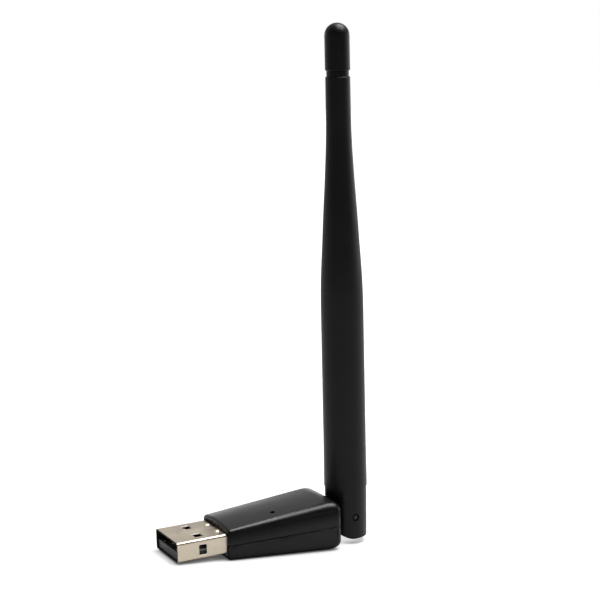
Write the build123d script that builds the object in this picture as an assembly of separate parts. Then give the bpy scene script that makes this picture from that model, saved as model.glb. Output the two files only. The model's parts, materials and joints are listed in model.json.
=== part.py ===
from build123d import *
import math
import os

# USB wireless network adapter with a swivelling, folding rod antenna.
# Frame: origin at the centre of the plug's open end, on the plug axis. +X runs from the
# plug towards the antenna, +Z is up. The adapter is symmetric about y = 0 apart from its
# board and the lamp hole. The swivel axis is the X axis, and the fold axis is a line along
# Y through the pins. All lengths in millimetres.

os.makedirs("parts", exist_ok=True)

SIDES = (-1, 1)

# ---------------------------------------------------------------- driving dimensions
# USB type A plug
PLUG_W, PLUG_H = 12.0, 4.5
SHEET = 0.3
PLUG_OUT = 11.75              # plug length standing out of the housing
SHELL_END = 16.4              # rear end of the sheet metal box, inside the housing
LEG_END = 18.6                # rear end of its soldering legs
PLUG_CORNER = 0.62            # outside bend radius of the sheet
WINDOW_X0, WINDOW_X1 = 5.05, 6.95
WINDOW_Y, WINDOW_W = 2.98, 2.5    # centre of each latch window from the middle, width
SIDE_WIN_H, SIDE_WIN_Z, SIDE_WIN_CORNER = 2.2, -0.12, 0.25
SEAM_HALF_W = 0.04
DIMPLE_X, DIMPLE_Y, DIMPLE_R, DIMPLE_H = 10.80, 2.6, 0.90, 0.32

# insulator and contacts
INS_X0, INS_STEP_X = 0.35, 9.4
INS_HALF_Y, INS_HALF_Z, INS_CORNER = 5.66, 1.93, 0.33
INS_TONGUE_TOP = -0.1
CONTACT_W, CONTACT_T = 1.0, 0.25
CONTACT_Z0 = INS_TONGUE_TOP - 0.2
CONTACT_GAP = 0.03
CONTACT_END = 16.45
FOOT_X0, FOOT_X1, FOOT_HALF_W = 16.3, 18.3, 0.4
CONTACTS = {                  # centre y, front end x
    "contact_power": (-3.5, 0.9),
    "contact_data_minus": (-1.0, 1.9),
    "contact_data_plus": (1.0, 1.9),
    "contact_ground": (3.5, 0.9),
}

# housing, a wedge that grows towards the antenna; pairs are (front, rear)
FRONT_X, REAR_X = PLUG_OUT, 39.55
HALF_W = (6.95, 7.85)
TOP_EDGE = (3.05, 5.62)       # height of the top edges
CROWN = (0.82, 0.36)          # rise of the crowned top above its edges
R_TOP = (0.95, 2.40)          # long top corner radius
BOTTOM = (-3.62, -5.85)
R_BOTTOM = (0.9, 1.8)
R_FRONT, R_REAR = 0.7, 1.3
WALL = 1.2
PART_Z = -0.25                # parting plane of the two covers
RELIEF_DEPTH, RELIEF_HALF_H = 0.22, 0.09
GRIP_END = 14.2               # rear of the thick wall around the plug
OPENING_END = 18.9
OPENING_GAP = 0.03
LIP_X0, LIP_X1, LIP_H = 19.2, 33.4, 0.75
LIP_INSET, LIP_ROOM_INSET = 0.72, 0.68
LIP_ROOM_GAP = 0.05
LIP_ROOT_H = 0.3

# circuit board
PCB_X0, PCB_X1 = 16.5, 33.0
PCB_HALF = 5.55
PCB_TOP = PART_Z
PCB_T = 0.8
PCB_BOT = PCB_TOP - PCB_T
PCB_CORNER = 0.8
POST_X = (19.5, 27.5)         # board supports below, press ribs above
POST_HALF_X = 0.5
PEG_X, PEG_Y, PEG_R, PEG_TOP = 30.6, 4.1, 0.75, 2.2
BOSS_R, SOCKET_R, SOCKET_TOP = 1.4, 1.5, 2.35
LED_X, LED_Y, LED_HOLE_R = 23.97, -3.85, 0.58
CAPACITOR_H, RESISTOR_H = 0.5, 0.35
CAPACITORS = [                # x, y, True where the length runs along Y
    (19.8, 2.6, True), (19.8, 1.0, True), (19.8, -0.8, True), (22.0, 4.2),
    (24.2, 4.2), (26.9, 0.6), (26.9, -0.4), (28.6, 0.7),
]
RESISTORS = [                 # same columns
    (21.4, -2.9), (21.4, -3.9), (26.9, -1.4), (26.9, -2.4), (22.0, -4.9), (19.6, -2.6, True),
]

# swivel
NECK_R = 2.75
RUN = 0.08                    # running clearance
FLANGE_R = 3.6
FLANGE_X0, FLANGE_X1 = 36.85, 38.10
RIB_X0, RIB_X1 = 35.70, 36.77
TAIL_R, TAIL_X0 = 2.0, 34.40
TONGUE_HALF_Y, TONGUE_HALF_Z = 2.6, 3.0
STOP_HALF_Y = 0.45            # half width of the stop and of the stub's lug
BORE_R, BORE_END = 0.75, 41.5

# coax
COAX_R = 0.56
LEAD_Z = PCB_TOP + COAX_R + 0.02
LEAD_CORE_X0, LEAD_X0 = 29.2, 30.2
LEAD_BEND_X, LEAD_END_X = 32.6, 34.2
LEAD_CORE_R = 0.17

# antenna
ANT_X = 44.75                 # antenna axis and pin axis
KNUCKLE_R_TOP, KNUCKLE_R_BOT = 4.80, 4.66
KNUCKLE_BOT, KNUCKLE_TOP = -5.05, 6.75
SWEEP_R = 5.10                # rounding of the fork towards the housing, about the pins
SLOT_HALF_Y, SLOT_R = 2.72, 3.15
PIN_R, PIN_Y0, PIN_Y1, PIN_CHAMFER = 0.6, 1.1, 4.55, 0.12
PIN_SINK_R, PIN_SINK_Y = 0.88, 4.30
SPIGOT_R, SPIGOT_TOP = 4.0, 14.5
FORK_BORE_R = 0.8
SLEEVE_BOT, SLEEVE_TOP = KNUCKLE_TOP + 0.02, 99.75
SOCKET_BORE_R = SPIGOT_R + 0.02
GROOVE_R = 2.5
CAP_STEM_BOT, CAP_STEM_R = 93.5, 1.70
CAP_BOT, CAP_R = 101.1, 2.79
TIP_CHAMFER = 0.12
TOP_Z = 111.45
COAX_BOT, COAX_END = 3.6, 53.0
CORE_R, CORE_TOP = 0.34, 80.0
TUBE_R, TUBE_BORE_R, TUBE_LENGTH, TUBE_END_T = 2.4, 2.15, 24.0, 0.6

# radius and height along the tapered part of the sleeve
SLEEVE_PROFILE = [
    (4.82, 48.0), (4.79, 50.8), (4.69, 54.3), (4.45, 58.9), (4.17, 63.4),
    (3.92, 67.9), (3.64, 72.35), (3.35, 76.8), (3.10, 81.2), (2.93, 84.8),
    (2.83, 88.0), (2.80, 91.0),
]
BORE_PROFILE = [
    (3.72, 48.0), (3.60, 54.3), (3.36, 58.9), (3.08, 63.4), (2.82, 67.9),
    (2.55, 72.35), (2.26, 76.8), (2.02, 81.2), (1.86, 84.8), (1.76, 88.0), (1.74, 91.0),
]


# ---------------------------------------------------------------- helpers
def block(x0, x1, y0, y1, z0, z1):
    """Box between bounds; the y bounds may come in either order."""
    return Pos((x0 + x1) / 2, (y0 + y1) / 2, (z0 + z1) / 2) * Box(x1 - x0, abs(y1 - y0), z1 - z0)


def cyl_x(x0, x1, r, y=0.0, z=0.0):
    return Pos((x0 + x1) / 2, y, z) * Rot(0, 90, 0) * Cylinder(r, x1 - x0)


def cyl_y(y0, y1, r, x=0.0, z=0.0):
    """Cylinder along Y; its bounds may come in either order."""
    return Pos(x, (y0 + y1) / 2, z) * Rot(90, 0, 0) * Cylinder(r, abs(y1 - y0))


def cyl_z(z0, z1, r, x=0.0, y=0.0):
    return Pos(x, y, (z0 + z1) / 2) * Cylinder(r, z1 - z0)


def rounded_x(x0, x1, half_y, half_z, r):
    """Box centred on the X axis whose four long edges are rounded."""
    b = block(x0, x1, -half_y, half_y, -half_z, half_z)
    return fillet(b.edges().filter_by(Axis.X), r)


def lines(*points):
    return [Line(a, b) for a, b in zip(points, points[1:])]


def turned(outline):
    """Revolve a closed (radius, height) outline about the antenna axis."""
    return Pos(ANT_X, 0, 0) * revolve(Plane.XZ * make_face(outline), axis=Axis.Z)


def save(name, shape):
    """Write every solid of a shape, with slivers dropped."""
    solids = [s for s in shape.solids() if s.volume > 1e-3]
    kept = solids[0] if len(solids) == 1 else Compound(children=solids)
    export_step(kept, "parts/" + name + ".step")


# ---------------------------------------------------------------- plug
def usb_shell():
    half_w, half_h = PLUG_W / 2, PLUG_H / 2
    shell = rounded_x(0, SHELL_END, half_w, half_h, PLUG_CORNER)
    shell -= rounded_x(-1, SHELL_END + 1, half_w - SHEET, half_h - SHEET, PLUG_CORNER - SHEET)
    # soldering legs that run back beside the board
    for side in SIDES:
        shell += block(SHELL_END - 0.3, LEG_END, side * (half_w - SHEET), side * half_w, -1.6, 0.7)
    # latch windows, two above and two below, and one window in each side
    for side in SIDES:
        y = side * WINDOW_Y
        for z0, z1 in ((1, 3), (-3, -2.1)):
            shell -= block(WINDOW_X0, WINDOW_X1, y - WINDOW_W / 2, y + WINDOW_W / 2, z0, z1)
        window = block(WINDOW_X0 + 0.05, WINDOW_X1 - 0.05, side * half_w - 1, side * half_w + 1,
                       SIDE_WIN_Z - SIDE_WIN_H / 2, SIDE_WIN_Z + SIDE_WIN_H / 2)
        shell -= fillet(window.edges().filter_by(Axis.Y), SIDE_WIN_CORNER)
    # folded seam along the underside
    shell -= block(-1, SHELL_END + 1, -SEAM_HALF_W, SEAM_HALF_W, -2.3, -2.1)
    # domed dimples on top, just ahead of the housing
    ball_r = (DIMPLE_R ** 2 + DIMPLE_H ** 2) / (2 * DIMPLE_H)
    for side in SIDES:
        y = side * DIMPLE_Y
        dome = Pos(DIMPLE_X, y, half_h + DIMPLE_H - ball_r) * Sphere(ball_r)
        dome &= block(DIMPLE_X - 2, DIMPLE_X + 2, y - 2, y + 2, half_h - 0.1, 4)
        shell += dome
    return shell


def usb_insulator():
    """Tongue in front, full block behind, with slots that carry the contacts."""
    body = block(INS_X0, INS_STEP_X, -INS_HALF_Y, INS_HALF_Y, -INS_HALF_Z, INS_TONGUE_TOP)
    body += block(INS_STEP_X, SHELL_END - 0.1, -INS_HALF_Y, INS_HALF_Y, -INS_HALF_Z, INS_HALF_Z)
    body = fillet([e for e in body.edges().filter_by(Axis.X)
                   if abs(abs(e.center().Z) - INS_HALF_Z) < 1e-3
                   and abs(abs(e.center().Y) - INS_HALF_Y) < 1e-3], INS_CORNER)
    half = CONTACT_W / 2 + CONTACT_GAP
    for y, front in CONTACTS.values():
        body -= block(front - CONTACT_GAP, SHELL_END + 1, y - half, y + half,
                      CONTACT_Z0 - 0.01, INS_TONGUE_TOP + 0.17)
    return body


def contact(y, front):
    """Strip lying in its slot, with a foot on the board."""
    strip = block(front, CONTACT_END, y - CONTACT_W / 2, y + CONTACT_W / 2,
                  CONTACT_Z0, CONTACT_Z0 + CONTACT_T)
    strip = fillet(strip.edges().filter_by(Axis.Y).sort_by(Axis.X)[0:1], 0.1)
    strip += block(FOOT_X0, FOOT_X1, y - FOOT_HALF_W, y + FOOT_HALF_W,
                   PCB_TOP, PCB_TOP + CONTACT_T)
    return strip


# ---------------------------------------------------------------- housing
def section(x, inset):
    """Crowned cross section of the housing at x, pulled in by inset."""
    t = (x - FRONT_X) / (REAR_X - FRONT_X)

    def at(pair):
        return pair[0] + (pair[1] - pair[0]) * t

    half = at(HALF_W) - inset
    top = at(TOP_EDGE) - inset
    bottom = at(BOTTOM) + inset
    face = make_face([
        Line((-half, bottom), (half, bottom)),
        Line((half, bottom), (half, top)),
        ThreePointArc((half, top), (0, top + at(CROWN)), (-half, top)),
        Line((-half, top), (-half, bottom)),
    ])
    low = face.vertices().group_by(Axis.Y)[0]
    face = fillet(low, max(at(R_BOTTOM) - inset * 0.6, 0.2))
    high = [v for v in face.vertices()
            if abs(v.Y - top) < 1e-4 and abs(abs(v.X) - half) < 1e-4]
    face = fillet(high, max(at(R_TOP) - inset * 0.6, 0.2))
    return Plane(origin=(x, 0, 0), x_dir=(0, 1, 0), z_dir=(1, 0, 0)) * face


def wedge(x0, x1, inset=0.0):
    return loft([section(x0, inset), section(x1, inset)], ruled=True)


def housing():
    """Both covers in one piece, hollowed and bored."""
    body = wedge(FRONT_X, REAR_X)
    for end_x, radius in ((REAR_X, R_REAR), (FRONT_X, R_FRONT)):
        body = fillet([e for e in body.edges() if abs(e.center().X - end_x) < 1e-4], radius)

    # the cavity leaves a thick wall gripping the plug, and a rib that carries the swivel tail
    cavity = wedge(FRONT_X + WALL, FLANGE_X1 + RUN, WALL)
    grip = cavity & block(FRONT_X, GRIP_END, -20, 20, -20, 20)
    rib = cavity & block(RIB_X0, RIB_X1, -20, 20, -20, 20)
    body -= cavity - grip - rib

    half_w, half_h = PLUG_W / 2 + OPENING_GAP, PLUG_H / 2 + OPENING_GAP
    body -= block(FRONT_X - 1, OPENING_END, -half_w, half_w, -half_h, half_h)
    # swivel bearings
    body -= cyl_x(REAR_X - 2, REAR_X + 1, NECK_R + RUN)
    body -= cyl_x(RIB_X0 - 0.5, RIB_X1 + 0.5, TAIL_R + RUN)
    # relief line around the parting plane
    ring = block(FRONT_X - 1, REAR_X + 1, -10, 10, PART_Z - RELIEF_HALF_H, PART_Z + RELIEF_HALF_H)
    ring -= wedge(FRONT_X + RELIEF_DEPTH, REAR_X - RELIEF_DEPTH, RELIEF_DEPTH)
    return body - ring


def top_cover(body, interior):
    cover = body & block(0, 50, -15, 15, PART_Z, 15)
    # room for the bottom cover's lip
    room = wedge(LIP_X0 - 1.2, LIP_X1 + 1.2, LIP_ROOM_INSET)
    room -= wedge(LIP_X0 - 1.5, LIP_X1 + 1.5, WALL + 0.3)
    room &= block(LIP_X0 - LIP_ROOM_GAP, LIP_X1 + LIP_ROOM_GAP, -15, 15,
                  PART_Z, PART_Z + LIP_H + LIP_ROOM_GAP)
    cover -= room
    # light hole over the status lamp
    cover -= cyl_z(0, 9, LED_HOLE_R, LED_X, LED_Y)
    # ribs that press on the board
    for x in POST_X:
        for side in SIDES:
            press = block(x - POST_HALF_X, x + POST_HALF_X, side * 4.6, side * 5.4,
                          PCB_TOP + 0.02, 9)
            cover += press & interior
    for side in SIDES:
        socket = cyl_z(PCB_TOP + 0.6, 9, SOCKET_R, PEG_X, side * PEG_Y) & interior
        socket -= cyl_z(0, SOCKET_TOP, PEG_R + 0.03, PEG_X, side * PEG_Y)
        cover += socket
    return cover


def bottom_cover(body, interior):
    cover = body & block(0, 50, -15, 15, -15, PART_Z)
    # locating lip inside the top cover's side walls, and its root below the parting plane
    band = wedge(LIP_X0 - 1, LIP_X1 + 1, LIP_INSET) - wedge(LIP_X0 - 1.5, LIP_X1 + 1.5, WALL)
    cover += band & block(LIP_X0, LIP_X1, -15, 15, PART_Z, PART_Z + LIP_H)
    cover += band & block(LIP_X0, LIP_X1, -15, 15, PART_Z - LIP_ROOT_H, PART_Z)
    # board supports
    for x in POST_X:
        for side in SIDES:
            post = block(x - POST_HALF_X, x + POST_HALF_X, side * 4.0, side * 7.5,
                         -9, PCB_BOT - 0.01)
            cover += post & interior
    # alignment pegs through the board
    for side in SIDES:
        boss = cyl_z(-9, PCB_BOT - 0.01, BOSS_R, PEG_X, side * PEG_Y) & interior
        peg = cyl_z(PCB_BOT - 0.5, PEG_TOP, PEG_R, PEG_X, side * PEG_Y)
        cover += boss + peg
    # swivel stop, an upright in the path of the stub's lug
    stop = block(TAIL_X0 + 0.1, RIB_X0 + 0.2, -STOP_HALF_Y, STOP_HALF_Y, -9, -2.25)
    cover += stop & interior
    return cover


# ---------------------------------------------------------------- board and its parts
def on_board(x0, x1, y0, y1, height, base=0.0):
    """Box standing base above the board's top, up to height above it."""
    return block(x0, x1, y0, y1, PCB_TOP + base, PCB_TOP + height)


def circuit_board():
    board = block(PCB_X0, PCB_X1, -PCB_HALF, PCB_HALF, PCB_BOT, PCB_TOP)
    board = fillet(board.edges().filter_by(Axis.Z).group_by(Axis.X)[-1], PCB_CORNER)
    for side in SIDES:
        board -= cyl_z(-5, 5, PEG_R + 0.05, PEG_X, side * PEG_Y)
    return board


def wifi_chip():
    chip = on_board(20.6, 25.6, -1.9, 3.1, 0.85)
    chip = chamfer(chip.edges().group_by(Axis.Z)[-1], 0.08)
    # round mark sunk in one corner
    return chip - cyl_z(PCB_TOP + 0.78, 5, 0.3, 21.3, 2.4)


def crystal():
    base = on_board(26.4, 28.9, 1.2, 4.4, 0.35)
    can = on_board(26.55, 28.75, 1.35, 4.25, 0.75, base=0.35)
    return base + fillet(can.edges().filter_by(Axis.Z), 0.35)


def status_led():
    led = on_board(LED_X - 0.8, LED_X + 0.8, LED_Y - 0.4, LED_Y + 0.4, 0.25)
    led += on_board(LED_X - 0.5, LED_X + 0.5, LED_Y - 0.38, LED_Y + 0.38, 0.65, base=0.25)
    return led


def power_inductor():
    coil = on_board(28.1, 30.1, -2.4, -0.8, 1.0)
    return fillet(coil.edges().filter_by(Axis.Z), 0.2)


def chip_0402(height, x, y, along_y=False):
    size_x, size_y = (0.5, 1.0) if along_y else (1.0, 0.5)
    return on_board(x - size_x / 2, x + size_x / 2, y - size_y / 2, y + size_y / 2, height)


def chips_0402(height, places):
    return Compound(children=[chip_0402(height, *place).solids()[0] for place in places])


def coax_lead():
    """Lies on the board, then drops to the swivel axis."""
    start, bend = (LEAD_X0, 0, LEAD_Z), (LEAD_BEND_X, 0, LEAD_Z)
    path = Wire([
        Line(start, bend),
        Spline([bend, (LEAD_END_X, 0, 0)], tangents=[(1, 0, 0), (1, 0, 0)]),
    ])
    return sweep(Plane(origin=start, z_dir=(1, 0, 0)) * Circle(COAX_R), path=path)


def solder_joints(strips, lead, core):
    joints = []
    # contact feet
    for name, (y, _) in CONTACTS.items():
        blob = Pos(18.25, y, PCB_TOP) * Sphere(0.42)
        blob &= block(17, 20, y - 0.42, y + 0.42, PCB_TOP, 2)
        joints.append(blob - strips[name])
    # plug legs
    for side in SIDES:
        blob = cyl_x(17.2, 18.4, 0.38, side * PCB_HALF, PCB_TOP)
        joints.append(blob & block(17, 20, side * 5.0, side * 5.7, PCB_TOP, 2))
    # coax core, clear of the capacitor next to it
    blob = Pos(29.4, 0, PCB_TOP) * Sphere(0.62)
    blob &= block(28, 30.15, -0.7, 0.7, PCB_TOP, 2)
    blob -= core
    joints.append(blob - chip_0402(CAPACITOR_H, *CAPACITORS[-1]))
    # coax braid
    blob = Pos(31.1, 0, PCB_TOP) * Sphere(0.95)
    blob &= on_board(30, 32, -1, 1, 0.62)
    joints.append(blob - lead)
    return Compound(children=[s for joint in joints for s in joint.solids() if s.volume > 1e-3])


# ---------------------------------------------------------------- swivel stub
def swivel_stub():
    stub = cyl_x(FLANGE_X0, FLANGE_X1, FLANGE_R)
    stub += cyl_x(FLANGE_X1 - 0.2, REAR_X + 0.2, NECK_R)
    stub += cyl_x(TAIL_X0, FLANGE_X0 + 0.2, TAIL_R)
    # stop lug
    stub += block(TAIL_X0, RIB_X0 - 0.06, -STOP_HALF_Y, STOP_HALF_Y, 1.2, 3.2)
    tongue = block(REAR_X + 0.14, ANT_X, -TONGUE_HALF_Y, TONGUE_HALF_Y,
                   -TONGUE_HALF_Z, TONGUE_HALF_Z)
    tongue += cyl_y(-TONGUE_HALF_Y, TONGUE_HALF_Y, TONGUE_HALF_Z, ANT_X)
    stub += tongue
    # cable bore, and the open channel where the cable turns
    stub -= cyl_x(TAIL_X0 - 1, BORE_END, BORE_R)
    stub -= block(40.9, ANT_X + 4, -0.8, 0.8, -0.8, 4)
    # pin bores
    return stub - cyl_y(-3, 3, PIN_R + 0.05, ANT_X)


# ---------------------------------------------------------------- antenna
def antenna_fork():
    fork = Pos(ANT_X, 0, (KNUCKLE_BOT + KNUCKLE_TOP) / 2) * Cone(
        KNUCKLE_R_BOT, KNUCKLE_R_TOP, KNUCKLE_TOP - KNUCKLE_BOT)
    # towards the housing the lower end is round about the pins, so that the antenna can fold
    fork -= block(ANT_X - 10, ANT_X, -10, 10, -10, 0) - cyl_y(-11, 11, SWEEP_R, ANT_X)
    fork += cyl_z(KNUCKLE_TOP - 0.2, SPIGOT_TOP, SPIGOT_R, ANT_X)
    # slot for the tongue, open below and towards the housing
    slot = block(ANT_X - 8, ANT_X, -SLOT_HALF_Y, SLOT_HALF_Y, -8, SLOT_R)
    slot += block(ANT_X, ANT_X + SLOT_R, -SLOT_HALF_Y, SLOT_HALF_Y, -8, 0)
    slot += cyl_y(-SLOT_HALF_Y, SLOT_HALF_Y, SLOT_R, ANT_X)
    fork -= slot
    # cable bore, pin bore and the counterbores at its ends
    fork -= cyl_z(2, SPIGOT_TOP + 1, FORK_BORE_R, ANT_X)
    fork -= cyl_y(-6, 6, PIN_R + 0.01, ANT_X)
    for side in SIDES:
        fork -= cyl_y(side * PIN_SINK_Y, side * 6, PIN_SINK_R, ANT_X)
    return fork


def hinge_pins():
    pins = []
    for side in SIDES:
        pin = cyl_y(side * PIN_Y0, side * PIN_Y1, PIN_R, ANT_X)
        pin = chamfer(pin.edges().filter_by(GeomType.CIRCLE), PIN_CHAMFER)
        pins.append(pin.solids()[0])
    return Compound(children=pins)


def antenna_sleeve():
    bore_r = BORE_PROFILE[0][0]
    tip_bore_r = BORE_PROFILE[-1][0]
    return turned([
        *lines((SOCKET_BORE_R, SLEEVE_BOT), (4.93, SLEEVE_BOT), (4.86, 16.0), SLEEVE_PROFILE[0]),
        Spline(SLEEVE_PROFILE, tangents=[(0, 1), (0, 1)]),
        *lines(SLEEVE_PROFILE[-1], (2.77, SLEEVE_TOP - TIP_CHAMFER), (2.65, SLEEVE_TOP),
               (tip_bore_r, SLEEVE_TOP), BORE_PROFILE[-1]),
        Spline(BORE_PROFILE[::-1], tangents=[(0, -1), (0, -1)]),
        *lines(BORE_PROFILE[0], (bore_r, 15.0), (SOCKET_BORE_R, 14.7),
               (SOCKET_BORE_R, SLEEVE_BOT)),
    ])


def antenna_tip_cap():
    """Stem in the sleeve's bore, a groove above the sleeve, and a domed cap."""
    dome_z = TOP_Z - CAP_R
    seat_z = SLEEVE_TOP + 0.01
    diagonal = CAP_R * math.cos(math.pi / 4)
    return turned([
        *lines((0, CAP_STEM_BOT), (1.55, CAP_STEM_BOT), (CAP_STEM_R, CAP_STEM_BOT + 0.3),
               (CAP_STEM_R, seat_z), (GROOVE_R, seat_z), (GROOVE_R, CAP_BOT),
               (CAP_R - TIP_CHAMFER, CAP_BOT), (CAP_R, CAP_BOT + TIP_CHAMFER), (CAP_R, dome_z)),
        ThreePointArc((CAP_R, dome_z), (diagonal, dome_z + diagonal), (0, TOP_Z)),
        Line((0, TOP_Z), (0, CAP_STEM_BOT)),
    ])


def antenna_coax():
    return cyl_z(COAX_BOT, COAX_END, COAX_R, ANT_X) - cyl_z(3, COAX_END + 1, 0.36, ANT_X)


def radiator_tube():
    """Tube over the end of the coax, closed at the top around it."""
    bottom = COAX_END - TUBE_LENGTH
    tube = cyl_z(bottom, COAX_END, TUBE_R, ANT_X)
    tube -= cyl_z(bottom - 1, COAX_END - TUBE_END_T, TUBE_BORE_R, ANT_X)
    return tube - cyl_z(bottom - 1, COAX_END + 1, COAX_R + 0.01, ANT_X)


# ---------------------------------------------------------------- build and write
strips = {name: contact(*place) for name, place in CONTACTS.items()}
body = housing()
interior = wedge(FRONT_X + WALL - 0.1, REAR_X - WALL - 0.1, WALL - 0.1)
lead = coax_lead()
lead_core = cyl_x(LEAD_CORE_X0, LEAD_X0, LEAD_CORE_R, 0, LEAD_Z)

pieces = {
    "usb_shell": usb_shell(),
    "usb_insulator": usb_insulator(),
    **strips,
    "top_cover": top_cover(body, interior),
    "bottom_cover": bottom_cover(body, interior),
    "circuit_board": circuit_board(),
    "wifi_chip": wifi_chip(),
    "crystal": crystal(),
    "status_led": status_led(),
    "chip_capacitors": chips_0402(CAPACITOR_H, CAPACITORS),
    "chip_resistors": chips_0402(RESISTOR_H, RESISTORS),
    "power_inductor": power_inductor(),
    "coax_lead": lead,
    "coax_lead_core": lead_core,
    "solder_joints": solder_joints(strips, lead, lead_core),
    "swivel_stub": swivel_stub(),
    "coax_swivel_length": cyl_x(TAIL_X0 + 0.05, 41.2, COAX_R),
    "antenna_fork": antenna_fork(),
    "hinge_pins": hinge_pins(),
    "antenna_sleeve": antenna_sleeve(),
    "antenna_tip_cap": antenna_tip_cap(),
    "antenna_coax": antenna_coax(),
    "antenna_core": cyl_z(COAX_BOT, CORE_TOP, CORE_R, ANT_X),
    "radiator_tube": radiator_tube(),
}
for name, piece in pieces.items():
    save(name, piece)
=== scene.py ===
import json
import math
from functools import cached_property, reduce

import bmesh
import bpy
from mathutils import Matrix, Vector


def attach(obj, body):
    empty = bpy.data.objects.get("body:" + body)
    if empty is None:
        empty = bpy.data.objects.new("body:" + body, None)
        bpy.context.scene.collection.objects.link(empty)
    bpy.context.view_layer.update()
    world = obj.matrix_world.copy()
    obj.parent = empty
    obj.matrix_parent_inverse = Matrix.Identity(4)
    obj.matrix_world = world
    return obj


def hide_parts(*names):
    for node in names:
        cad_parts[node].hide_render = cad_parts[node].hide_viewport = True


# USB wireless adapter: a metal plug, a black housing and a swivelling antenna, on white paper.
#
# Everything sits in the CAD frame, in metres: +X from the plug to the antenna, +Z up.
# The camera looks from the -Y side.
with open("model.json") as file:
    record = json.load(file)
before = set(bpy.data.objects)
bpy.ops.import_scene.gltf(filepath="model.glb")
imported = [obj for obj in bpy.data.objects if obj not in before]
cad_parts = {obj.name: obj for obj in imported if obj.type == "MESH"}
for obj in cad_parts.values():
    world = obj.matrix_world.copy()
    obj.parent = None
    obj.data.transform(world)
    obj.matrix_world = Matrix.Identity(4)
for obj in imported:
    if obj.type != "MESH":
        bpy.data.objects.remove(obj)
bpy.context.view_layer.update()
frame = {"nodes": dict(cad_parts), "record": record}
NODES = frame["nodes"]
MM = 0.001

# ------------------------------------------------------------------ driving sizes, in mm
SLOPE_X = 11.75               # the long ridge and the underside start to slope here
REAR_X = 39.55                # rear end of the housing
RIDGE_Z, RIDGE_RISE = 2.25, 1.12            # height of the side ridge at SLOPE_X, rise to the rear
UNDERSIDE_FRONT, UNDERSIDE_REAR = 3.62, 5.85    # depth of the underside at SLOPE_X and REAR_X

EASE_X = 3.6                  # length of the eased rear end
CORE_Z = 2.95                 # nothing nearer the swivel axis than this moves
TOP_EASE = (5.98, 1.15)       # full height of the cover, reach of the easing at that height
BOTTOM_EASE = (UNDERSIDE_REAR, 0.95)


def mm(*lengths):
    return tuple(length * MM for length in lengths)


# ------------------------------------------------------------------ material helpers
MATERIALS = {}                # every material, by the name it was asked for

SURFACE_INPUTS = {
    "color": "Base Color", "roughness": "Roughness", "metallic": "Metallic",
    "specular": "Specular IOR Level", "anisotropic": "Anisotropic",
    "coat": "Coat Weight", "coat_roughness": "Coat Roughness",
    "sheen": "Sheen Weight", "sheen_roughness": "Sheen Roughness",
    "subsurface": "Subsurface Weight", "subsurface_scale": "Subsurface Scale",
    "glow_color": "Emission Color", "glow": "Emission Strength",
}


def lighter(color, gain, lift=0.0):
    return tuple(min(1.0, c * gain + lift) for c in color)


class Graph:
    """A node tree, emptied and ready to be wired."""

    def __init__(self, tree):
        self.tree = tree
        tree.nodes.clear()

    def feed(self, socket, value):
        """Links a socket, or sets a value; a three-part colour gets its alpha."""
        if isinstance(value, bpy.types.NodeSocket):
            self.tree.links.new(value, socket)
        elif isinstance(value, tuple) and len(value) != len(socket.default_value):
            socket.default_value = (*value, 1.0)
        else:
            socket.default_value = value

    def node(self, kind, inputs=None, **settings):
        node = self.tree.nodes.new(kind)
        for name, value in settings.items():
            setattr(node, name, value)
        for key, value in (inputs or {}).items():
            self.feed(node.inputs[key], value)
        return node

    def remap(self, value, span=(0.3, 0.7), to=(0.0, 1.0), **settings):
        """Maps span onto to, held at both ends."""
        return self.node("ShaderNodeMapRange", {
            "From Min": span[0], "From Max": span[1], "To Min": to[0], "To Max": to[1],
            "Value": value}, **settings).outputs[0]

    def split(self, vector):
        return self.node("ShaderNodeSeparateXYZ", {0: vector}).outputs[:3]


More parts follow.
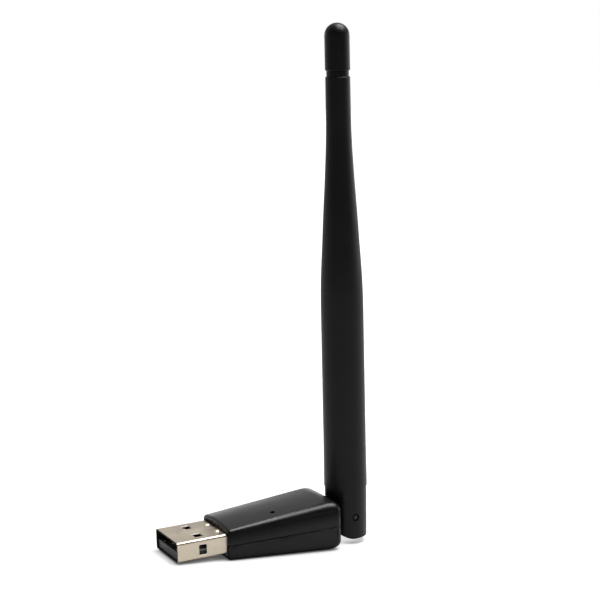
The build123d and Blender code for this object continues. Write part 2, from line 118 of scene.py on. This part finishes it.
class Material(Graph):
    """A Principled material, with its patterns laid in object space."""

    def __init__(self, name):
        material = bpy.data.materials.new(name)
        material.use_nodes = True
        super().__init__(material.node_tree)
        output = self.node("ShaderNodeOutputMaterial")
        self.bsdf = self.node("ShaderNodeBsdfPrincipled")
        self.feed(output.inputs["Surface"], self.bsdf.outputs[0])
        self.position = self.node("ShaderNodeTexCoord").outputs["Object"]
        MATERIALS[name] = material

    @cached_property
    def geometry(self):
        return self.node("ShaderNodeNewGeometry")

    # --- arithmetic
    def math(self, operation, a, b=0.0):
        return self.node("ShaderNodeMath", {0: a, 1: b, 2: 0.0}, operation=operation).outputs[0]

    def plus(self, *terms):
        return reduce(lambda a, b: self.math("ADD", a, b), terms)

    def times(self, *factors):
        return reduce(lambda a, b: self.math("MULTIPLY", a, b), factors)

    # --- patterns, in features per metre; stretch multiplies them along each axis
    def coords(self, stretch, turn=(0, 0, 0)):
        if stretch is None:
            return self.position
        return self.node("ShaderNodeMapping", {
            "Scale": stretch, "Rotation": turn, "Vector": self.position}).outputs[0]

    def noise(self, per_metre=1.0, detail=3, rough=0.6, stretch=None, distort=0.0, w=None):
        node = self.node("ShaderNodeTexNoise", {
            "Scale": per_metre, "Detail": detail, "Roughness": rough, "Distortion": distort,
            "Vector": self.coords(stretch)})
        if w is not None:
            node.noise_dimensions = "4D"
            node.inputs["W"].default_value = w
        return node.outputs["Fac"]

    def voronoi(self, per_metre=1.0, feature="F1", random=1.0, stretch=None, turn=(0, 0, 0)):
        return self.node("ShaderNodeTexVoronoi", {
            "Scale": per_metre, "Randomness": random, "Vector": self.coords(stretch, turn)},
            feature=feature).outputs["Distance"]

    def wave(self, direction, per_metre, distort, stretch=None):
        return self.node("ShaderNodeTexWave", {
            "Scale": per_metre, "Distortion": distort, "Vector": self.coords(stretch)},
            wave_type="BANDS", bands_direction=direction).outputs["Fac"]

    # --- masks
    def edges(self, radius_mm, flat=0.98):
        """0 on flats, 1 on outside and inside edges tighter than the radius."""
        bevel = self.node("ShaderNodeBevel", {"Radius": radius_mm * MM}, samples=6)
        dot = self.node("ShaderNodeVectorMath", {
            0: bevel.outputs[0], 1: self.geometry.outputs["True Normal"]}, operation="DOT_PRODUCT")
        return self.remap(dot.outputs["Value"], span=(flat, 0.80))

    def openness(self, distance_mm, samples=6):
        """Low in close corners, 1 in the open."""
        return self.node("ShaderNodeAmbientOcclusion", {"Distance": distance_mm * MM},
                         samples=samples).outputs["AO"]

    def facing_up(self):
        return self.split(self.geometry.outputs["Normal"])[2]

    # --- colour
    def mix(self, base, color, amount, mode="MIX"):
        return self.node("ShaderNodeMix", {0: amount, 6: base, 7: color},
                         data_type="RGBA", blend_type=mode, clamp_factor=True).outputs[2]

    def ramp(self, value, stops):
        """stops: position and colour of each."""
        node = self.node("ShaderNodeValToRGB", {"Fac": value})
        elements = node.color_ramp.elements
        while len(elements) < len(stops):
            elements.new(0.5)
        for element, (position, color) in zip(elements, stops):
            element.position = position
            element.color = (*color, 1.0)
        return node.outputs["Color"]

    def mottled(self, per_metre, dark, light):
        """A soft cloud pattern, and the two tones it drifts between."""
        cloud = self.noise(per_metre)
        return cloud, self.mix(dark, light, self.remap(cloud))

    def fleck(self, base, pattern, span, peak, color):
        """Colours the places where the pattern is high, up to peak."""
        return self.mix(base, color, self.remap(pattern, span, (0.0, peak)))

    def stain(self, base, mask, amount, color):
        return self.mix(base, color, self.times(mask, amount))

    def edge_wear(self, base, radius_mm, amount, color, flat=0.98):
        return self.stain(base, self.edges(radius_mm, flat), amount, color)

    # --- into the surface
    def bump(self, *layers, round_mm=None):
        """layers: (height, strength, depth in mm); round_mm softens edges in the shading."""
        normal = None
        if round_mm:
            bevel = self.node("ShaderNodeBevel", {"Radius": round_mm * MM}, samples=6)
            normal = bevel.outputs[0]
        for height, strength, depth in layers:
            node = self.node("ShaderNodeBump", {
                "Strength": strength, "Distance": depth * MM, "Height": height})
            if normal is not None:
                self.feed(node.inputs["Normal"], normal)
            normal = node.outputs[0]
        self.feed(self.bsdf.inputs["Normal"], normal)

    def surface(self, **values):
        for name, value in values.items():
            self.feed(self.bsdf.inputs[SURFACE_INPUTS[name]], value)


# ------------------------------------------------------------------ materials
def painted_ridge_shade(m):
    """Painted shade: dims the reflection just under the long top ridge, fading out down the side;
    1 above the ridge.
    """
    x, _, z = m.split(m.position)
    along = m.math("SUBTRACT", x, SLOPE_X * MM)
    ridge = m.plus(m.times(along, RIDGE_RISE / (REAR_X - SLOPE_X)), RIDGE_Z * MM)
    below = m.math("SUBTRACT", ridge, z)
    fade = m.remap(below, span=mm(0.2, 2.3), to=(0.22, 1.0))
    above = m.remap(below, span=mm(-0.5, -0.05), to=(1.0, 0.0))
    return m.math("MAXIMUM", fade, above)


def black_plastic(name, dark, light, roughness, specular, grain_mm, grain, ridge=False):
    """Moulded black plastic: fine eroded texture, polished edges and a trace of dust."""
    m = Material(name)
    grains = 1000.0 / grain_mm
    cloud = m.noise(160, rough=0.55)
    fine = m.noise(grains, detail=2)
    coarse = m.noise(grains / 3.2, detail=2, rough=0.5, w=3.1)
    pits = m.voronoi(grains * 0.8)
    base = m.mix(dark, light, m.remap(cloud))
    base = m.fleck(base, fine, span=(0.60, 0.78), peak=0.55, color=lighter(light, 2.4, 0.004))
    patches = m.remap(m.noise(420, w=1.7), span=(0.38, 0.62), to=(0.25, 1.0))
    worn = m.times(m.edges(radius_mm=0.22, flat=0.985), patches, 0.5)
    base = m.mix(base, lighter(light, 3.4, 0.010), worn)
    specks = m.noise(1500, detail=2, rough=0.7, w=9.3)
    dust = m.times(m.remap(specks, span=(0.70, 0.82), to=(0.0, 0.5)),
                   m.remap(m.facing_up(), span=(0.55, 0.98), to=(0.0, 0.30)))
    base = m.mix(base, (0.16, 0.155, 0.15), dust)
    # broad handling marks plus grain; edges polished
    smear = m.noise(95, detail=4, rough=0.62, stretch=(1.0, 1.0, 0.45), distort=0.6)
    rough = m.plus(m.remap(smear, span=(0.28, 0.72), to=roughness),
                   m.remap(fine, to=(-0.035, 0.035)))
    rough = m.math("SUBTRACT", rough, m.times(worn, 0.12))
    # close joints and corners catch less of the room
    shade = m.remap(m.openness(distance_mm=2.4), span=(0.35, 0.90), to=(0.15, 1.0))
    # upward faces are handled and a little glossier
    gloss = m.remap(m.facing_up(), span=(0.70, 0.97), to=(specular, specular * 2.4))
    # with ridge set, painted shade dims the reflection under the long top ridge
    if ridge:
        shade = m.times(shade, painted_ridge_shade(m))
    m.surface(color=base, roughness=rough, specular=m.times(shade, gloss),
              sheen=0.015, sheen_roughness=0.5)
    m.bump((coarse, grain * 0.55, 0.010), (fine, grain, 0.006), (pits, grain * 0.35, 0.005),
           round_mm=0.05)


def plug_metal():
    """Satin nickel over rolled sheet: lengthwise grain, speckle, scratches, brighter edges."""
    inner_half_y, inner_half_z = 5.74, 1.99     # inside of the box, mm
    window_x, window_z = (4.9, 7.1), 1.93       # around the latch windows, mm

    m = Material("plug_metal")
    cloud = m.noise(210, distort=0.4)
    grain = m.noise(rough=0.65, stretch=(900, 9500, 9500))
    streaks = m.noise(detail=2, rough=0.5, stretch=(160, 5200, 5200))
    speck = m.noise(5200, detail=2, rough=0.7)
    scratch_cells = m.voronoi(feature="DISTANCE_TO_EDGE", stretch=(260, 4200, 4200),
                              turn=(0.0, 0.18, 0.32))
    base = m.ramp(cloud, [
        (0.25, (0.700, 0.607, 0.472)),
        (0.5, (0.755, 0.660, 0.518)),
        (0.75, (0.800, 0.706, 0.564)),
    ])
    base = m.fleck(base, grain, span=(0.30, 0.70), peak=0.22, color=(0.84, 0.76, 0.64))
    base = m.fleck(base, speck, span=(0.62, 0.80), peak=0.35, color=(0.50, 0.44, 0.36))
    base = m.edge_wear(base, radius_mm=0.10, amount=0.5, color=(0.90, 0.87, 0.80), flat=0.985)
    # painted shade: the metal turns dark brown in tight corners and where it meets the housing
    painted_contact_shade = m.remap(m.openness(distance_mm=0.8), span=(0.25, 0.85), to=(0.55, 0.0))
    base = m.mix(base, (0.20, 0.165, 0.125), painted_contact_shade)
    # inside of the box and the blanked front edge are painted nearly black as shade, and made
    # rougher
    x, y, z = m.split(m.position)
    inside = m.times(m.math("LESS_THAN", m.math("ABSOLUTE", y), inner_half_y * MM),
                     m.math("LESS_THAN", m.math("ABSOLUTE", z), inner_half_z * MM))
    rim = m.remap(x, span=mm(0.02, 0.10), to=(0.92, 0.0))
    dull_and_painted_shade = m.math("MAXIMUM", inside, rim)
    base = m.mix(base, (0.030, 0.026, 0.021), dull_and_painted_shade)
    scratch = m.remap(scratch_cells, span=(0.0, 0.02), to=(1.0, 0.0))
    rough = m.plus(m.remap(cloud, to=(0.27, 0.37)), m.remap(streaks, to=(-0.04, 0.05)),
                   m.remap(speck, span=(0.5, 0.8), to=(0.0, 0.07)),
                   m.times(scratch, 0.05), m.times(dull_and_painted_shade, 0.3))
    # the far cut edge of each latch window, which faces -Y, glows and is less metallic: a painted
    # highlight
    normal_y = m.split(m.geometry.outputs["Normal"])[1]
    painted_lip_glint = m.times(m.math("LESS_THAN", normal_y, -0.7), m.math("GREATER_THAN", z, window_z * MM))
    painted_lip_glint = m.times(painted_lip_glint, m.times(m.math("GREATER_THAN", x, window_x[0] * MM),
                               m.math("LESS_THAN", x, window_x[1] * MM)))
    m.surface(color=base, metallic=m.math("SUBTRACT", 1.0, m.times(painted_lip_glint, 0.8)), roughness=rough,
              anisotropic=0.35, glow_color=(0.93, 0.90, 0.84), glow=m.times(painted_lip_glint, 0.55))
    m.bump((grain, 0.14, 0.004), (speck, 0.10, 0.003), (scratch, 0.05, 0.002), round_mm=0.045)


def plug_insulator():
    """Dark fibrous plastic inside the plug."""
    flank_y = 5.5                               # flanks lie beyond this half-width, mm
    band_z, band_fade = -0.27, (0.16, 0.22)     # height of the pale band, its half-width, mm

    m = Material("plug_insulator")
    cloud, base = m.mottled(500, dark=(0.052, 0.053, 0.056), light=(0.082, 0.083, 0.086))
    fine = m.noise(7000, detail=2)
    fibre = m.noise(detail=2, stretch=(900, 4200, 4200))
    base = m.fleck(base, fibre, span=(0.55, 0.75), peak=0.35, color=(0.13, 0.13, 0.135))
    base = m.edge_wear(base, radius_mm=0.08, amount=0.35, color=(0.20, 0.20, 0.205))
    # flanks are painted dark as the shade of the box; the pale band along their top is a painted
    # highlight
    _, y, z = m.split(m.position)
    flank = m.math("GREATER_THAN", m.math("ABSOLUTE", y), flank_y * MM)
    off_band = m.math("ABSOLUTE", m.plus(z, -band_z * MM))
    painted_highlight_band = m.times(flank, m.remap(off_band, span=mm(*band_fade), to=(1.0, 0.0)))
    base = m.stain(base, flank, amount=0.93, color=(0.004, 0.004, 0.004))
    base = m.stain(base, painted_highlight_band, amount=0.9, color=(0.20, 0.215, 0.17))
    rough = m.plus(m.remap(cloud, to=(0.40, 0.52)), m.remap(fine, to=(-0.03, 0.03)))
    m.surface(color=base, roughness=rough, specular=0.45)
    m.bump((fine, 0.25, 0.004), (fibre, 0.2, 0.004), round_mm=0.04)


def plated(name, dark, light, tarnish, roughness, stretch=(900, 5200, 5200), worn=None,
           bump=0.12):
    """Plated or drawn metal: tone drift, drawing lines along its length, tarnish spots."""
    m = Material(name)
    cloud, base = m.mottled(420, dark, light)
    lines = m.noise(stretch=stretch)
    spots = m.noise(2600, detail=2, rough=0.7, w=2.2)
    base = m.fleck(base, spots, span=(0.62, 0.8), peak=0.6, color=tarnish)
    base = m.edge_wear(base, radius_mm=0.07, amount=0.5, color=worn or lighter(light, 1.2))
    rough = m.plus(m.remap(cloud, to=roughness), m.remap(lines, to=(-0.05, 0.06)),
                   m.remap(spots, span=(0.6, 0.8), to=(0.0, 0.18)))
    m.surface(color=base, metallic=1.0, roughness=rough, anisotropic=0.3)
    m.bump((lines, bump, 0.003), (spots, bump * 0.6, 0.003), round_mm=0.03)


def board_laminate():
    """Green solder mask over a glass weave, with faint copper tracks; bare on the cut sides."""
    m = Material("board_laminate")
    weave = m.times(*[m.wave(axis, per_metre=330, distort=1.2) for axis in "XY"])
    cells = m.voronoi(620, feature="DISTANCE_TO_EDGE", random=0.65)
    track = m.remap(cells, span=(0.10, 0.16), to=(1.0, 0.0))
    cloud, base = m.mottled(300, dark=(0.010, 0.085, 0.030), light=(0.018, 0.130, 0.050))
    base = m.stain(base, weave, amount=0.30, color=(0.030, 0.18, 0.075))
    base = m.stain(base, track, amount=0.55, color=(0.045, 0.24, 0.085))
    side = m.remap(m.math("ABSOLUTE", m.facing_up()), span=(0.3, 0.6), to=(1.0, 0.0))
    glass = m.mix((0.34, 0.28, 0.14), (0.50, 0.43, 0.26), weave)
    base = m.mix(base, glass, side)
    rough = m.plus(m.remap(cloud, to=(0.22, 0.34)), m.times(side, 0.35))
    m.surface(color=base, roughness=rough, specular=0.5, coat=0.3, coat_roughness=0.15)
    m.bump((track, 0.35, 0.010), (weave, 0.15, 0.006))


def epoxy(name, dark, light, roughness, grain_mm):
    """Moulding compound with filler grain and paler edges."""
    m = Material(name)
    grain = m.noise(1000 / grain_mm, rough=0.7)
    cloud, base = m.mottled(700, dark, light)
    base = m.fleck(base, grain, span=(0.60, 0.78), peak=0.5, color=lighter(light, 4))
    base = m.edge_wear(base, radius_mm=0.06, amount=0.4, color=lighter(light, 5))
    rough = m.plus(m.remap(cloud, to=roughness), m.remap(grain, to=(-0.04, 0.04)))
    m.surface(color=base, roughness=rough, specular=0.4)
    m.bump((grain, 0.35, 0.004), round_mm=0.03)


def chip_part(name, dark, light):
    """Chip part with a coloured body and bright, tinned edges."""
    m = Material(name)
    cloud, base = m.mottled(1800, dark, light)
    fine = m.noise(9000, detail=2)
    base = m.fleck(base, fine, span=(0.62, 0.8), peak=0.4, color=lighter(light, 1.5, 0.03))
    edge = m.edges(radius_mm=0.05)
    base = m.stain(base, edge, amount=0.75, color=(0.70, 0.70, 0.69))
    m.surface(color=base, roughness=m.remap(cloud, to=(0.25, 0.42)),
              metallic=m.times(edge, 0.7), specular=0.5)
    m.bump((fine, 0.3, 0.003), round_mm=0.03)


def lamp_resin():
    """Milky clear resin, greener towards the top."""
    m = Material("lamp_resin")
    cloud, base = m.mottled(1600, dark=(0.66, 0.68, 0.62), light=(0.80, 0.82, 0.77))
    fine = m.noise(8000, detail=2)
    upper = m.remap(m.split(m.position)[2], span=mm(0.05, 0.35))
    base = m.stain(base, upper, amount=0.6, color=(0.62, 0.72, 0.55))
    m.surface(color=base, roughness=m.remap(cloud, to=(0.10, 0.22)), specular=0.5,
              subsurface=0.25, subsurface_scale=0.4 * MM, coat=0.4, coat_roughness=0.08)
    m.bump((fine, 0.15, 0.003), round_mm=0.04)


def jacket(name, dark, light, roughness, braid=False):
    """Cable jacket or dielectric with extrusion lines; a braid can show through."""
    m = Material(name)
    cloud, base = m.mottled(500, dark, light)
    lines = m.noise(detail=2, stretch=(5200, 5200, 500))
    base = m.fleck(base, lines, span=(0.6, 0.8), peak=0.3, color=lighter(light, 1.4, 0.01))
    layers = [(lines, 0.2, 0.004)]
    if braid:
        strands = [m.wave("DIAGONAL", per_metre=700, distort=0.3, stretch=(1, 1, lean))
                   for lean in (1, -1)]
        layers.append((m.times(*strands), 0.25, 0.012))
    m.surface(color=base, roughness=m.remap(cloud, to=roughness), specular=0.5)
    m.bump(*layers)


plug_metal()
plug_insulator()
plated("contact_gold", dark=(0.70, 0.48, 0.17), light=(0.86, 0.63, 0.27),
       tarnish=(0.42, 0.28, 0.12), roughness=(0.14, 0.26))
black_plastic("housing_plastic", dark=(0.0040, 0.0038, 0.0042), light=(0.0075, 0.0071, 0.0077),
              roughness=(0.25, 0.34), specular=0.27, grain_mm=0.16, grain=0.35, ridge=True)
black_plastic("antenna_plastic", dark=(0.0032, 0.0030, 0.0034), light=(0.0062, 0.0058, 0.0064),
              roughness=(0.32, 0.41), specular=0.22, grain_mm=0.15, grain=0.28)
board_laminate()
epoxy("chip_epoxy", dark=(0.012, 0.012, 0.013), light=(0.024, 0.024, 0.026),
      roughness=(0.42, 0.58), grain_mm=0.09)
plated("can_metal", dark=(0.62, 0.61, 0.58), light=(0.74, 0.73, 0.70),
       tarnish=(0.40, 0.38, 0.35), roughness=(0.18, 0.30))
lamp_resin()
chip_part("capacitor_ceramic", dark=(0.40, 0.27, 0.15), light=(0.56, 0.40, 0.24))
chip_part("resistor_film", dark=(0.012, 0.012, 0.014), light=(0.028, 0.028, 0.032))
epoxy("inductor_ferrite", dark=(0.055, 0.055, 0.060), light=(0.095, 0.095, 0.100),
      roughness=(0.5, 0.68), grain_mm=0.13)
plated("solder", dark=(0.60, 0.61, 0.62), light=(0.78, 0.79, 0.80), tarnish=(0.36, 0.36, 0.37),
       roughness=(0.14, 0.34), stretch=(2600, 2600, 2600), bump=0.3)
jacket("coax_jacket", dark=(0.012, 0.012, 0.013), light=(0.026, 0.026, 0.028),
       roughness=(0.30, 0.42), braid=True)
plated("copper", dark=(0.66, 0.36, 0.22), light=(0.80, 0.48, 0.32),
       tarnish=(0.34, 0.16, 0.09), roughness=(0.18, 0.32))
plated("pin_steel", dark=(0.034, 0.033, 0.034), light=(0.058, 0.056, 0.057),
       tarnish=(0.020, 0.018, 0.018), roughness=(0.34, 0.48), stretch=(5200, 900, 5200),
       worn=(0.16, 0.155, 0.155))
jacket("core_dielectric", dark=(0.72, 0.72, 0.69), light=(0.82, 0.82, 0.80),
       roughness=(0.28, 0.40))
plated("radiator_brass", dark=(0.62, 0.45, 0.18), light=(0.76, 0.58, 0.28),
       tarnish=(0.34, 0.22, 0.09), roughness=(0.20, 0.36), stretch=(5200, 5200, 600))

SLOT_OF = {part["node"]: part["material_slot"] for part in frame["record"]["subparts"]}
for name, piece in NODES.items():
    piece.data.materials.clear()
    piece.data.materials.append(MATERIALS[SLOT_OF[name]])


def link(name, data):
    thing = bpy.data.objects.new(name, data)
    bpy.context.scene.collection.objects.link(thing)
    return thing


# ------------------------------------------------------------------ housing covers
def eased(point):
    """Height of a point once the rear end is drawn in above and below, in a wide curve."""
    x, z = point.x / MM, point.z / MM
    along = min(1.0, max(0.0, (x - (REAR_X - EASE_X)) / EASE_X))
    if along <= 0.0 or abs(z) <= CORE_Z:
        return point.z
    full_height, reach = TOP_EASE if z > 0 else BOTTOM_EASE
    outward = min(1.05, (abs(z) - CORE_Z) / (full_height - CORE_Z))
    z -= math.copysign(reach * along ** 2.1 * outward ** 1.25, z)
    return z * MM


def cut_rear(bm, at_mm, axis, nearest):
    """Cuts across an axis the faces whose nearest x (by min or max) is in the eased end."""
    start = (REAR_X - EASE_X - 0.001) * MM
    faces = [f for f in bm.faces if nearest(v.co.x for v in f.verts) > start]
    edges = {e for f in faces for e in f.edges}
    verts = {v for f in faces for v in f.verts}
    normal = Vector((0, 0, 0))
    normal[axis] = 1.0
    bmesh.ops.bisect_plane(bm, geom=list(verts) + list(edges) + faces, dist=1e-7,
                           plane_co=normal * (at_mm * MM), plane_no=normal)


def cover(node, name):
    """A cover's skin, cut finely towards the rear and eased over, with soft edges."""
    bm = bmesh.new()
    bm.from_mesh(NODES[node].data)
    bmesh.ops.remove_doubles(bm, verts=bm.verts, dist=2e-7)
    for i in range(12):
        cut_rear(bm, REAR_X - EASE_X + i * 0.3, axis=0, nearest=max)
    # height cuts stay behind the first cut across, so that the long faces keep their shading
    for i in range(9):
        for side in (1, -1):
            cut_rear(bm, side * (CORE_Z + i * 0.35), axis=2, nearest=min)
    for v in bm.verts:
        v.co.z = eased(v.co)
    bmesh.ops.recalc_face_normals(bm, faces=bm.faces)
    mesh = bpy.data.meshes.new(name)
    bm.to_mesh(mesh)
    bm.free()
    for polygon in mesh.polygons:
        polygon.use_smooth = True
    mesh.set_sharp_from_angle(angle=math.radians(34))
    mesh.materials.append(MATERIALS["housing_plastic"])
    skin = link(name, mesh)
    weighted = skin.modifiers.new("normals", "WEIGHTED_NORMAL")
    weighted.keep_sharp = True
    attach(skin, "adapter_body")
    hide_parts(node)


cover("top_cover", "top_cover_skin")
cover("bottom_cover", "bottom_cover_skin")

# ------------------------------------------------------------------ camera
AZIMUTH, ELEVATION, ROLL = (math.radians(a) for a in (-27.1866, 10.1845, -1.3733))
DISTANCE = 0.3402838
TARGET = Vector((0.034121, 0.0, 0.0509447))
LENS_MM, SENSOR_MM = 91.85, 36.0
CLIP = (0.01, 20.0)

back = Vector((math.sin(AZIMUTH) * math.cos(ELEVATION),
               -math.cos(AZIMUTH) * math.cos(ELEVATION),
               math.sin(ELEVATION)))           # from the target to the camera


def camera():
    data = bpy.data.cameras.new("camera")
    data.sensor_width = SENSOR_MM
    data.lens = LENS_MM
    data.clip_start, data.clip_end = CLIP
    forward = -back
    right = forward.cross(Vector((0, 0, 1))).normalized()
    up = right.cross(forward)
    rolled_right = right * math.cos(ROLL) + up * math.sin(ROLL)
    rolled_up = up * math.cos(ROLL) - right * math.sin(ROLL)
    pose = Matrix((rolled_right, rolled_up, back)).transposed().to_4x4()
    pose.translation = TARGET + back * DISTANCE
    viewer = link("camera", data)
    viewer.matrix_world = pose
    bpy.context.scene.camera = viewer


camera()

# ------------------------------------------------------------------ floor
FLOOR_X, FLOOR_GAP = 25.6, 0.03       # centre of the paper, gap under the housing, mm
FLOOR_RADIUS = 6.0                    # metres
ANTENNA_TIP = (44.75, 0, 111.45)      # mm


def floor_paper():
    bounced, seen, glow_near, glow_far = 0.72, 0.50, 0.76, 1.1
    m = Material("floor_paper")
    fibre = m.noise(900)
    base = m.mix((0.900, 0.900, 0.900), (0.915, 0.915, 0.915),
                 m.remap(m.noise(9, detail=2, rough=0.5)))
    base = m.fleck(base, fibre, span=(0.4, 0.7), peak=0.15, color=(0.87, 0.87, 0.87))
    camera_ray = m.node("ShaderNodeLightPath").outputs["Is Camera Ray"]
    tone = m.remap(camera_ray, span=(0, 1), to=(bounced, seen))
    # the paper whitens away from the object, as if it curved up into the light
    away = m.node("ShaderNodeVectorMath", {0: m.position}, operation="LENGTH").outputs["Value"]
    whitening = m.remap(away, span=(0.06, 0.45), to=(glow_near, glow_far))
    # painted contact shadow: the glow is held back close to the object
    contact = m.remap(m.openness(distance_mm=3.0, samples=16), span=(0.15, 0.90), to=(0.10, 1.0))
    m.surface(color=m.mix(base, tone, amount=1.0, mode="MULTIPLY"), roughness=0.85, specular=0.0,
              glow_color=(1, 1, 1), glow=m.times(whitening, contact, camera_ray))
    m.bump((fibre, 0.05, 0.02))


def floor():
    bm = bmesh.new()
    bmesh.ops.create_circle(bm, cap_ends=True, segments=96, radius=FLOOR_RADIUS)
    mesh = bpy.data.meshes.new("floor")
    bm.to_mesh(mesh)
    bm.free()
    paper = link("floor", mesh)
    # the paper lies against the sloping underside, which the adapter rests on
    slope = math.atan2(UNDERSIDE_REAR - UNDERSIDE_FRONT, REAR_X - SLOPE_X)
    height = -UNDERSIDE_FRONT - math.tan(slope) * (FLOOR_X - SLOPE_X) - FLOOR_GAP
    paper.location = mm(FLOOR_X, 0, height)
    paper.rotation_euler = (0, slope, 0)
    # when the antenna hangs below the housing, the paper drops to stay under its tip
    tip = link("tip_mark", None)
    tip.location = mm(*ANTENNA_TIP)
    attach(tip, "antenna")
    follow = paper.constraints.new("COPY_LOCATION")
    follow.target = tip
    follow.use_x = follow.use_y = False
    stop = paper.constraints.new("LIMIT_LOCATION")
    stop.use_max_z = True
    stop.max_z = paper.location.z
    floor_paper()
    mesh.materials.append(MATERIALS["floor_paper"])


floor()

# ------------------------------------------------------------------ light
LIGHT_AT, LIGHT_AIM = Vector((0.25, -0.06, 0.60)), Vector((0.030, 0.0, 0.03))
LIGHT_SIZE = (0.50, 0.42)             # metres
LIGHT_POWER = 5.3                     # watts
WORLD_STRENGTH = 1.7


def top_light():
    data = bpy.data.lights.new("top_light", "AREA")
    data.shape = "RECTANGLE"
    data.size, data.size_y = LIGHT_SIZE
    data.energy = LIGHT_POWER
    data.spread = math.radians(180)
    softbox = link("top_light", data)
    softbox.location = LIGHT_AT
    softbox.rotation_mode = "QUATERNION"
    softbox.rotation_quaternion = (LIGHT_AIM - LIGHT_AT).to_track_quat("-Z", "Y")
    softbox.visible_camera = False


def studio():
    """A bright backdrop behind and beside the object, dim overhead, dark behind the camera."""
    world = bpy.data.worlds.new("studio")
    bpy.context.scene.world = world
    world.use_nodes = True
    graph = Graph(world.node_tree)

    def product(a, b):
        return graph.node("ShaderNodeMath", {0: a, 1: b}, operation="MULTIPLY").outputs[0]

    direction = graph.node("ShaderNodeTexCoord").outputs["Generated"]
    to_camera = graph.node("ShaderNodeVectorMath", {
        0: direction, 1: Vector((back.x, back.y, 0)).normalized()}, operation="DOT_PRODUCT")
    backdrop = graph.remap(to_camera.outputs["Value"], span=(-0.35, 0.45), to=(1.0, 0.07),
                           interpolation_type="SMOOTHSTEP")
    low = graph.remap(graph.split(direction)[2], span=(0.02, 0.25), to=(1.0, 0.24),
                      interpolation_type="SMOOTHSTEP")
    strength = product(product(backdrop, low), WORLD_STRENGTH)
    lit = graph.node("ShaderNodeBackground", {"Color": (1, 1, 1), "Strength": strength})
    # the camera itself sees plain white
    seen = graph.node("ShaderNodeBackground", {"Color": (1, 1, 1), "Strength": 1.0})
    camera_ray = graph.node("ShaderNodeLightPath").outputs["Is Camera Ray"]
    either = graph.node("ShaderNodeMixShader", {
        0: camera_ray, 1: lit.outputs[0], 2: seen.outputs[0]})
    graph.node("ShaderNodeOutputWorld", {"Surface": either.outputs[0]})


top_light()
studio()

view = bpy.context.scene.view_settings
view.view_transform = "Standard"
view.look = "None"
view.exposure = 0.0
view.gamma = 1.0
